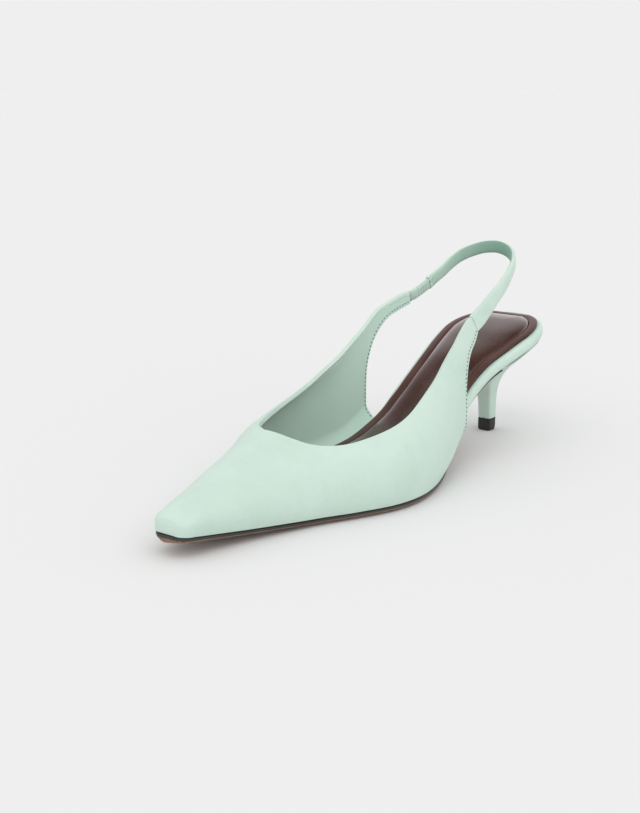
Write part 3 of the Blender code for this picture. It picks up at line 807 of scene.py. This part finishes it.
def rib_rows(side):
    """Rows of the ribs on one side, the vamp's included."""
    rows = LATERAL_RIBS if side > 0 else MEDIAL_RIBS
    return rows + tuple((low, -1.0, top, 1.0) for low, top in VAMP_RIBS)


def rib_at(side, key):
    """A rib between the table's rows: its low and top ends."""
    rows = rib_rows(side)
    keys = list(range(len(rows)))
    return tuple(smooth(keys, [row[k] for row in rows], key) for k in range(4))


def on_rib(side, key, share):
    """A point of the outer skin, at a share of the way up a rib."""
    low_along, low_around, top_along, top_around = rib_at(side, key)
    return last_point(side, low_along + (top_along - low_along) * share,
                      low_around + (top_around - low_around) * share)


def out_of_skin(side, key, share):
    """The skin's outward direction there."""
    nudge = 0.01
    last_key = len(rib_rows(side)) - 1
    a = on_rib(side, max(key - nudge * 5, 0.0), share)
    b = on_rib(side, min(key + nudge * 5, last_key), share)
    c = on_rib(side, key, max(share - nudge, 0.0))
    d = on_rib(side, key, min(share + nudge, 1.0))
    normal = (b - a).cross(d - c).normalized()
    return normal if normal.x * side + normal.z > 0 else -normal


def rib_shares(side, key):
    """Shares up a rib: even steps, then close ones where the skin is folded over."""
    length = (on_rib(side, key, 1.0) - on_rib(side, key, 0.0)).length
    folds = [1.0 - step / max(length, 0.007) for step in FOLD_STEPS]
    return [folds[0] * step / WALL_STEPS for step in range(WALL_STEPS)] + folds


def build_upper():
    """Vamp, both quarters and their tabs as one walled skin."""
    points = []
    faces = []
    slots = []
    thin = []
    last_ribs = []
    width = WALL_STEPS + len(FOLD_STEPS)
    groove = WALL_STEPS + FOLD_STEPS.index(FOLD_WIDTH)
    throat = len(LATERAL_RIBS) - 1
    for side in (1, -1):
        keys = [k / RIBS_PER_ROW for k in range((len(rib_rows(side)) - 1) * RIBS_PER_ROW + 1)]
        first = len(points)
        for r, key in enumerate(keys):
            if key <= throat:
                thin.append(len(points) + groove)
            points.extend(on_rib(side, key, share) for share in rib_shares(side, key))
            if r == 0:
                continue
            for k in range(width - 1):
                a = first + (r - 1) * width + k
                faces.append((a, a + 1, a + width + 1, a + width))
                folded = key <= throat and k >= groove
                # Inside, the folded skin takes a painted highlight, and the groove's line painted shade
                slots.append(4 if folded and k == groove else 2 if folded else 0)
        last_ribs.append(len(points) - width)
    for k in range(width - 1):
        faces.append((last_ribs[0] + k, last_ribs[0] + k + 1, last_ribs[1] + k + 1, last_ribs[1] + k))
        slots.append(0)
    finishes = [nubuck, lining, nubuck, fold_painted_highlight, nubuck, crease_painted_shade]
    piece = mesh_piece("upper_skin", points, faces, finishes, slots)
    full = piece.vertex_groups.new(name="wall")
    full.add(list(range(len(points))), 1.0, "REPLACE")
    full.add(thin, 1.0 - FOLD_GROOVE, "REPLACE")
    face_outwards(piece.data, merge=0.00001)
    wall = piece.modifiers.new("Wall", "SOLIDIFY")
    wall.vertex_group = full.name
    wall.thickness = UPPER_WALL
    wall.offset = -1.0
    wall.material_offset = 1
    wall.material_offset_rim = 0
    rim = piece.modifiers.new("Rim", "BEVEL")
    rim.limit_method = "ANGLE"
    rim.angle_limit = math.radians(50)
    rim.width = 0.0005
    rim.segments = 3
    return apply_modifiers(piece)


upper = build_upper()
print("upper:", len(upper.data.polygons), "faces")

# %% [markdown]
# The measured solids of the board, sole, heel and tip have the right shape but coarse
# facets. A copy has its loose triangles joined and paired back into quads, and one or
# two levels of Subdivision Surface round it. Edges that are sharp on the real piece get
# a crease first, so that they stay crisp.

# %% Finer copies of the plain solids
INK_HEIGHT = 0.0013
WAIST = 0.50


def refined(node, name, materials, levels, sharp_degrees=None, crease=0.9):
    """A rounded copy of a measured solid."""
    mesh = nodes[node].data.copy()
    mesh.name = name
    mesh.materials.clear()
    for material in materials:
        mesh.materials.append(material)
    work = bmesh.new()
    work.from_mesh(mesh)
    bmesh.ops.remove_doubles(work, verts=work.verts, dist=0.00001)
    bmesh.ops.join_triangles(work, faces=work.faces, angle_face_threshold=math.radians(35),
                             angle_shape_threshold=math.radians(50))
    if sharp_degrees:
        layer = work.edges.layers.float.get("crease_edge") or work.edges.layers.float.new("crease_edge")
        for edge in work.edges:
            if len(edge.link_faces) == 2 and edge.calc_face_angle() > math.radians(sharp_degrees):
                edge[layer] = crease
    work.to_mesh(mesh)
    work.free()
    piece = add_object(name, mesh)
    for attribute in ("custom_normal", "sharp_face", "sharp_edge"):
        if attribute in mesh.attributes:
            mesh.attributes.remove(mesh.attributes[attribute])
    round_off = piece.modifiers.new("Round", "SUBSURF")
    round_off.levels = levels
    round_off.render_levels = levels
    return apply_modifiers(piece)


board = refined("insole_board", "wrapped_board", [nubuck], 2)
heel = refined("heel", "covered_heel", [nubuck], 2, 42, 0.7)
tip = refined("top_piece", "rubber_tip", [tip_rubber], 2, 42, 0.8)
sole = refined("outsole", "leather_sole", [sole_brown, edge_ink], 2, 60, 0.9)
for face in sole.data.polygons:
    along = BALL_REST - face.center.y / SHOE_LENGTH
    depth = edge_height(along) - CLEARANCE - face.center.z
    inked = face.normal.z > -0.55 and (depth < INK_HEIGHT or along < WAIST)
    face.material_index = 1 if inked else 0
print("refined:", [piece.name for piece in (board, heel, tip, sole)])

# %% [markdown]
# The sock is cut a little smaller than the board. Its border lies flat; inside a stitched
# groove the heel and arch are padded with foam and stand up in a soft crown. It is made
# from its own outline, ring by ring inwards, so that groove, stitches and padding all
# follow the same edge.

# %% Padded sock
SEAM_INSET = 0.0043
GROOVE_WIDTH = 0.0009
GROOVE_DEPTH = 0.0006
PAD_SLOPE = 0.0030
EDGE_ROLL = 0.0004
RING_STEPS = 150
SOCK_POINTS = 620


def sock_inset(along):
    """How far the sock's edge lies inside the sole's edge."""
    front = upper_here(along)
    return board_inset(along) + SOCK_BORDER * (1.0 - front) + SOCK_BORDER_FRONT * front


def sock_outline():
    """The sock's edge in plan, from the back up the outer side and back down the inner."""
    shares = [0.5 * (1 - math.cos(math.pi * k / RING_STEPS)) for k in range(RING_STEPS + 1)]
    alongs = [SOCK_BACK + (SOCK_FRONT - SOCK_BACK) * share for share in shares]
    outer = [place(a, edge_width(1, a, sock_inset(a)), 0.0) for a in alongs]
    inner = [place(a, -edge_width(-1, a, sock_inset(a)), 0.0) for a in alongs]
    loop = outer + inner[::-1]
    spaced = []
    for point in loop:
        if not spaced or (point - spaced[-1]).length > 0.0004:
            spaced.append(point)
    return spaced


def even_loop(points, count):
    """A closed loop read again at even steps."""
    ring = points + [points[0]]
    runs = run_lengths(ring)
    found = []
    k = 0
    for step in range(count):
        run = runs[-1] * step / count
        while runs[k + 1] < run:
            k += 1
        found.append(ring[k].lerp(ring[k + 1], (run - runs[k]) / (runs[k + 1] - runs[k])))
    return found


def sock_floor(y):
    """Height of the board's top at a place along the shoe."""
    along = BALL_REST - y / SHOE_LENGTH
    return edge_height(along) + board_thickness(along) + CLEARANCE


def inset_loop(points, inset):
    """The loop drawn inwards in plan by an even distance, less where the toe is narrow."""
    count = len(points)
    found = []
    for k, point in enumerate(points):
        ahead = points[(k + 4) % count] - points[(k - 4) % count]
        inward = Vector((ahead.y, -ahead.x, 0.0)).normalized()
        along = BALL_REST - point.y / SHOE_LENGTH
        room = inset
        if along > 0.75:
            room = min(inset, 0.62 * edge_width(1 if point.x >= 0 else -1, along, sock_inset(along)))
        found.append(point + inward * room)
    return found


def sock_height(inset):
    """How far the sock stands above the board at a distance in from its edge."""
    groove = math.exp(-((inset - SEAM_INSET) / (GROOVE_WIDTH / 2)) ** 2) * GROOVE_DEPTH
    inside = max(inset - SEAM_INSET, 0.0)
    pad = SOCK_PADDING * (1.0 - math.exp(-inside / PAD_SLOPE))
    edge_roll = EDGE_ROLL * math.exp(-inset / EDGE_ROLL)
    return SOCK_THICKNESS + pad - groove - edge_roll


def build_sock():
    """Border, groove and padded crown over a flat underside."""
    outline = even_loop(sock_outline(), SOCK_POINTS)
    back = outline[0].y
    front = min(point.y for point in outline)
    insets = [0.0, 0.0003, 0.0010, 0.0022, 0.0032]
    insets += [SEAM_INSET + GROOVE_WIDTH * t for t in (-0.8, -0.4, -0.2, 0.0, 0.2, 0.4, 0.8)]
    insets += [SEAM_INSET + depth for depth in (0.0013, 0.0022, 0.0035, 0.0050, 0.0070)]
    rings = [[p + Vector((0, 0, sock_floor(p.y) + sock_height(inset))) for p in inset_loop(outline, inset)]
             for inset in insets]
    spine = []
    for point in outline:
        y = min(max(point.y, front + 0.010), back - 0.020)
        along = BALL_REST - y / SHOE_LENGTH
        middle = (edge_width(1, along) - edge_width(-1, along)) / 2
        spine.append(Vector((middle, y, 0.0)))
    deepest = inset_loop(outline, insets[-1])
    for share in (0.25, 0.5, 0.75, 1.0):
        ring = [p.lerp(q, share) for p, q in zip(deepest, spine)]
        rings.append([p + Vector((0, 0, sock_floor(p.y) + SOCK_THICKNESS + SOCK_PADDING)) for p in ring])
    under = []
    for share in (0.0, 0.35, 0.7, 1.0):
        ring = [p.lerp(q, share) for p, q in zip(outline, spine)]
        under.append([p + Vector((0, 0, sock_floor(p.y))) for p in ring])
    rings = under[::-1] + rings
    points = [p for ring in rings for p in ring]
    edge_row = len(under) - 1
    seam_row = len(under) + 7
    slots = []
    for r in range(len(rings) - 1):
        slots += [2 if r <= edge_row else 1 if r < seam_row else 0] * len(outline)
    piece = mesh_piece("padded_sock", points, ring_faces(len(rings), len(outline)),
                       [sock_leather, sock_border, sock_edge], slots)
    face_outwards(piece.data, merge=0.00002, dissolve=0.00001)
    return piece


def sock_stitch_path():
    """The seam's line in the groove, as a closed loop."""
    outline = even_loop(sock_outline(), SOCK_POINTS)
    return [p + Vector((0, 0, sock_floor(p.y) + sock_height(SEAM_INSET) + 0.00015))
            for p in inset_loop(outline, SEAM_INSET)]


sock = build_sock()
print("sock:", len(sock.data.polygons), "faces")

# %% [markdown]
# The slingback is a soft tube of nubuck round a flat tape. It starts at the outer
# quarter's tab, runs round the back of the heel and ends in an open mouth on the inner
# side, where a short covered elastic comes out of it. Both are lofted along one path, so
# that puckers and gathers can be placed by their distance from the mouth.

# %% Path of the strap
def tab_middle(side):
    """Middle of a quarter's end inside its wall, and the way up its end."""
    centre = on_rib(side, 0.0, 0.5)
    centre.x -= side * UPPER_WALL / 2
    return centre, (on_rib(side, 0.0, 1.0) - on_rib(side, 0.0, 0.0)).normalized()


def strap_path(count=400):
    """Even places along the loop with the way up the band, from tab to tab."""
    first, first_up = tab_middle(1)
    last, last_up = tab_middle(-1)
    places = [first]
    ups = [first_up]
    for along, across, height, lean in LOOP:
        z = edge_height(along) + height * INSTEP_HEIGHT
        places.append(place(along, across * BALL_WIDTH, z))
        ups.append(Vector((-math.copysign(lean, across), 0.0, 1.0)).normalized())
    places.append(last)
    ups.append(last_up)
    keys = run_lengths(places)
    found = []
    for step in range(count + 1):
        t = keys[-1] * step / count
        where = Vector([catmull(keys, [p[k] for p in places], t) for k in range(3)])
        up = Vector([smooth(keys, [p[k] for p in ups], t) for k in range(3)])
        found.append((where, up))
    return found


PATH = strap_path()
RUNS = run_lengths([where for where, up in PATH])
LOOP_LENGTH = RUNS[-1]
print("strap and elastic together:", round(LOOP_LENGTH * 1000), "mm")


def path_frame(run):
    """Place, way ahead, way up and way out of the band at a distance along the loop."""
    i, _, t = step_at(RUNS, run)
    where = PATH[i][0].lerp(PATH[i + 1][0], t)
    up = PATH[i][1].lerp(PATH[i + 1][1], t)
    ahead = (PATH[min(i + 4, len(PATH) - 1)][0] - PATH[max(i - 3, 0)][0]).normalized()
    up = (up - ahead * up.dot(ahead)).normalized()
    return where, ahead, up, ahead.cross(up).normalized()


# %% [markdown]
# A band's ring is a rounded rectangle. The puckers are a few folds that start at the
# mouth and fade out over a centimetre; the elastic's gathers are closer and run all the
# way across it, with painted shade in their valleys. The mouth itself is drawn in and
# turned inside, as a hem is, and painted dark as the shade inside it.

# %% Strap and elastic
BAND_POINTS = 32
# Steps round a ring that face the foot, which take the strap's painted shade
INNER_STEPS = range(BAND_POINTS // 2 - 7, BAND_POINTS // 2 + 6)
STRAP_RINGS = 300
MOUTH_FADE = 0.0035
TAB_FADE = 0.0015
PUCKERS = 7
PUCKER_DEPTH = 0.30
HEM = ((0.0002, 0.86), (0.0008, 0.78), (0.0020, 0.76))
GATHER_PITCH = 0.0015
GATHER_DEPTH = 0.26
ELASTIC_RINGS = 110
MOUTH = LOOP_LENGTH - ELASTIC_LENGTH - CLEARANCE


def band_ring(run, width, thickness, swell=None):
    """One ring of a band; swell gives an extra share of its size at each turn."""
    where, ahead, up, out = path_frame(run)
    ring = []
    for k in range(BAND_POINTS):
        turn = 2 * math.pi * (k + 0.5) / BAND_POINTS
        grow = 1.0 + (swell(turn) if swell else 0.0)
        across = math.copysign(abs(math.cos(turn)) ** BAND_CORNER, math.cos(turn)) * grow
        height = math.copysign(abs(math.sin(turn)) ** BAND_CORNER, math.sin(turn))
        ring.append(where + out * across * thickness / 2 + up * height * width / 2)
    return ring


def loft_piece(name, rings, materials, slot_at):
    """A closed piece through rings of equal count; slot_at names a face's finish."""
    count = len(rings[0])
    points = [p for ring in rings for p in ring]
    faces = ring_faces(len(rings), count)
    slots = [slot_at(r, k) for r in range(len(rings) - 1) for k in range(count)]
    faces.append(tuple(reversed(range(count))))
    faces.append(tuple(range((len(rings) - 1) * count, len(rings) * count)))
    return mesh_piece(name, points, faces, materials, slots + [0, 0])


def build_strap():
    """Padded tube with puckers before its mouth."""
    rings = []
    for step in range(STRAP_RINGS + 1):
        run = CLEARANCE + (MOUTH - CLEARANCE) * step / STRAP_RINGS
        near_mouth = math.exp(-(MOUTH - run) / MOUTH_FADE)
        near_tab = math.exp(-run / TAB_FADE)

        def swell(turn):
            pucker = PUCKER_DEPTH * near_mouth * math.sin(PUCKERS * turn + 900 * (MOUTH - run))
            return pucker - 0.20 * near_tab + 0.03 * math.sin(run * 260 + turn)

        width = strap_width(step / STRAP_RINGS) * (1.0 + 0.10 * near_mouth - 0.03 * near_tab)
        rings.append(band_ring(run, width, STRAP_THICKNESS, swell))
    for back, shrink in HEM:
        rings.append(band_ring(MOUTH - back, STRAP_WIDTH * shrink, STRAP_THICKNESS * shrink * 0.8))
    # Painted shade: dark on the hem inside the mouth, and on the faces towards the foot
    return loft_piece("slingback", rings, [strap_nubuck, strap_inside_painted_shade, hole_painted_shade],
                      lambda r, k: 2 if r > STRAP_RINGS else 1 if k in INNER_STEPS else 0)


def build_elastic():
    """Covered elastic: a flat tape whose cover is gathered across."""
    rings = []
    painted_shade_rings = set()
    start = MOUTH - 0.0015
    end = LOOP_LENGTH - CLEARANCE
    for step in range(ELASTIC_RINGS + 1):
        run = start + (end - start) * step / ELASTIC_RINGS
        wander = 0.9 * math.sin(run * 700) + 0.5 * math.sin(run * 1900)
        gather = 0.5 + 0.5 * math.sin(2 * math.pi * run / GATHER_PITCH + wander)
        # Painted shade in the gathers' valleys and on the last ring, where the elastic goes into the tab
        if gather < 0.10 or run > end - 0.0004:
            painted_shade_rings.add(step)

        def swell(turn):
            return GATHER_DEPTH * (gather - 0.6) * (1.0 + 0.3 * math.sin(2 * turn + run * 3000))

        width = ELASTIC_WIDTH * (1.0 + 0.06 * (gather - 0.5))
        rings.append(band_ring(run, width, ELASTIC_THICKNESS, swell))
    return loft_piece("covered_elastic", rings, [strap_nubuck, crease_painted_shade],
                      lambda r, k: 1 if r in painted_shade_rings else 0)


strap = build_strap()
elastic = build_elastic()
print("strap:", len(strap.data.polygons), "faces; elastic:", len(elastic.data.polygons), "faces")

# %% [markdown]
# A sewn row repeats one small thing along a line, so a Geometry Nodes tree makes it: the
# line becomes a curve, is read again at the stitch pitch, and a short rounded thread is
# set on each point along the line's direction. The tree ends in real geometry with its
# own material, and every row uses the same tree with its own sizes.

# %% Sewn rows with Geometry Nodes
def stitch_tree():
    """Tree that sets a thread at each pitch of the line it gets."""
    tree = bpy.data.node_groups.new("stitch_row", "GeometryNodeTree")
    tree.interface.new_socket(name="Geometry", in_out="INPUT", socket_type="NodeSocketGeometry")
    for label, value in (("Pitch", 0.002), ("Thread Length", 0.0014), ("Thread Thickness", 0.0004)):
        socket = tree.interface.new_socket(name=label, in_out="INPUT", socket_type="NodeSocketFloat")
        socket.default_value = value
    tree.interface.new_socket(name="Thread", in_out="INPUT", socket_type="NodeSocketMaterial")
    tree.interface.new_socket(name="Geometry", in_out="OUTPUT", socket_type="NodeSocketGeometry")
    start = tree.nodes.new("NodeGroupInput")
    end = tree.nodes.new("NodeGroupOutput")
    line = tree.nodes.new("GeometryNodeMeshToCurve")
    steps = tree.nodes.new("GeometryNodeResampleCurve")
    steps.mode = "LENGTH"
    one = tree.nodes.new("GeometryNodeMeshUVSphere")
    set_inputs(tree, one, {"Segments": 8, "Rings": 6, "Radius": 0.5})
    size = tree.nodes.new("ShaderNodeCombineXYZ")
    shape = tree.nodes.new("GeometryNodeTransform")
    aim = tree.nodes.new("FunctionNodeAlignRotationToVector")
    aim.axis = "X"
    way = tree.nodes.new("GeometryNodeInputTangent")
    put = tree.nodes.new("GeometryNodeInstanceOnPoints")
    real = tree.nodes.new("GeometryNodeRealizeInstances")
    colour = tree.nodes.new("GeometryNodeSetMaterial")
    join(tree, (start, "Geometry", line, "Mesh"), (line, "Curve", steps, "Curve"),
         (start, "Pitch", steps, "Length"), (start, "Thread Length", size, "X"),
         (start, "Thread Thickness", size, "Y"), (start, "Thread Thickness", size, "Z"),
         (one, "Mesh", shape, "Geometry"), (size, "Vector", shape, "Scale"),
         (way, "Tangent", aim, "Vector"), (steps, "Curve", put, "Points"),
         (shape, "Geometry", put, "Instance"), (aim, "Rotation", put, "Rotation"),
         (put, "Instances", real, "Geometry"), (real, "Geometry", colour, "Geometry"),
         (start, "Thread", colour, "Material"), (colour, "Geometry", end, "Geometry"))
    return tree


STITCHES = stitch_tree()


def sewn_row(name, lines, pitch, length, thickness, material, closed=False):
    """Threads along one or more lines, as one plain mesh."""
    points = []
    edges = []
    for line in lines:
        first = len(points)
        points.extend(line)
        edges.extend((first + k, first + k + 1) for k in range(len(line) - 1))
        if closed:
            edges.append((first + len(line) - 1, first))
    mesh = bpy.data.meshes.new(name)
    mesh.from_pydata([tuple(p) for p in points], edges, [])
    piece = add_object(name, mesh)
    row = piece.modifiers.new("Row", "NODES")
    row.node_group = STITCHES
    sizes = {"Pitch": pitch, "Thread Length": length, "Thread Thickness": thickness, "Thread": material}
    for item in STITCHES.interface.items_tree:
        if item.in_out == "INPUT" and item.name in sizes:
            row[item.identifier] = sizes[item.name]
    return apply_modifiers(piece)


def rear_edge_line(side, inset, lift, last_key):
    """A line beside the quarter's rear edge, on the outer skin or on the lining."""
    found = []
    for step in range(61):
        key = 0.25 + (last_key - 0.25) * step / 60
        rib_length = (on_rib(side, key, 1.0) - on_rib(side, key, 0.0)).length
        share = min(inset / rib_length, 0.4)
        found.append(on_rib(side, key, share) + out_of_skin(side, key, share) * lift)
    return found


PITCH = 0.0019
SEAM_FROM_EDGE = 0.0016
SEAM_ENDS = ((1, 6.9), (-1, 7.6))
SEAM_LIFTS = (0.00005, -UPPER_WALL - 0.00005)
rear_lines = [rear_edge_line(side, SEAM_FROM_EDGE, lift, last_key) for side, last_key in SEAM_ENDS
              for lift in SEAM_LIFTS]
between = [[a.lerp(b, 0.5) for a, b in zip(line, line[1:])] for line in rear_lines]
# Dark dots painted as the shade in each needle hole
quarter_hole_shade = sewn_row("quarter_needle_hole_shade", rear_lines, PITCH, 0.00080, 0.00062, hole_painted_shade)
quarter_threads = sewn_row("quarter_threads", between, PITCH, 0.00125, 0.00032, thread)
sock_threads = sewn_row("sock_threads", [sock_stitch_path()], 0.0022, 0.0015, 0.00042, sock_thread,
                        closed=True)
print("stitches:", len(quarter_threads.data.polygons) + len(sock_threads.data.polygons), "faces")

# %% [markdown]
# Last, every piece is tied to the shoe's one rigid body, and stands for the plain solid
# that it covers.

# %% Tie the pieces to the shoe
STANDS_FOR = (
    (upper, "upper", "upper_nubuck"),
    (board, "insole_board", "rand_nubuck"),
    (sock, "sock", "sock_leather"),
    (sole, "outsole", "sole_leather"),
    (heel, "heel", "heel_cover"),
    (tip, "top_piece", "top_piece_rubber"),
    (strap, "slingback_strap", "strap_nubuck"),
    (elastic, "elastic", "elastic"),
)
for piece, node, slot in STANDS_FOR:
    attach(piece, "root")
    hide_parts(node)
SEWN_ON = (
    (quarter_hole_shade, "upper_nubuck"),
    (quarter_threads, "upper_nubuck"),
    (sock_threads, "sock_leather"),
)
for piece, slot in SEWN_ON:
    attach(piece, "root")
faces = {piece.name: len(piece.data.polygons) for piece, _, _ in STANDS_FOR}
print("faces:", faces)
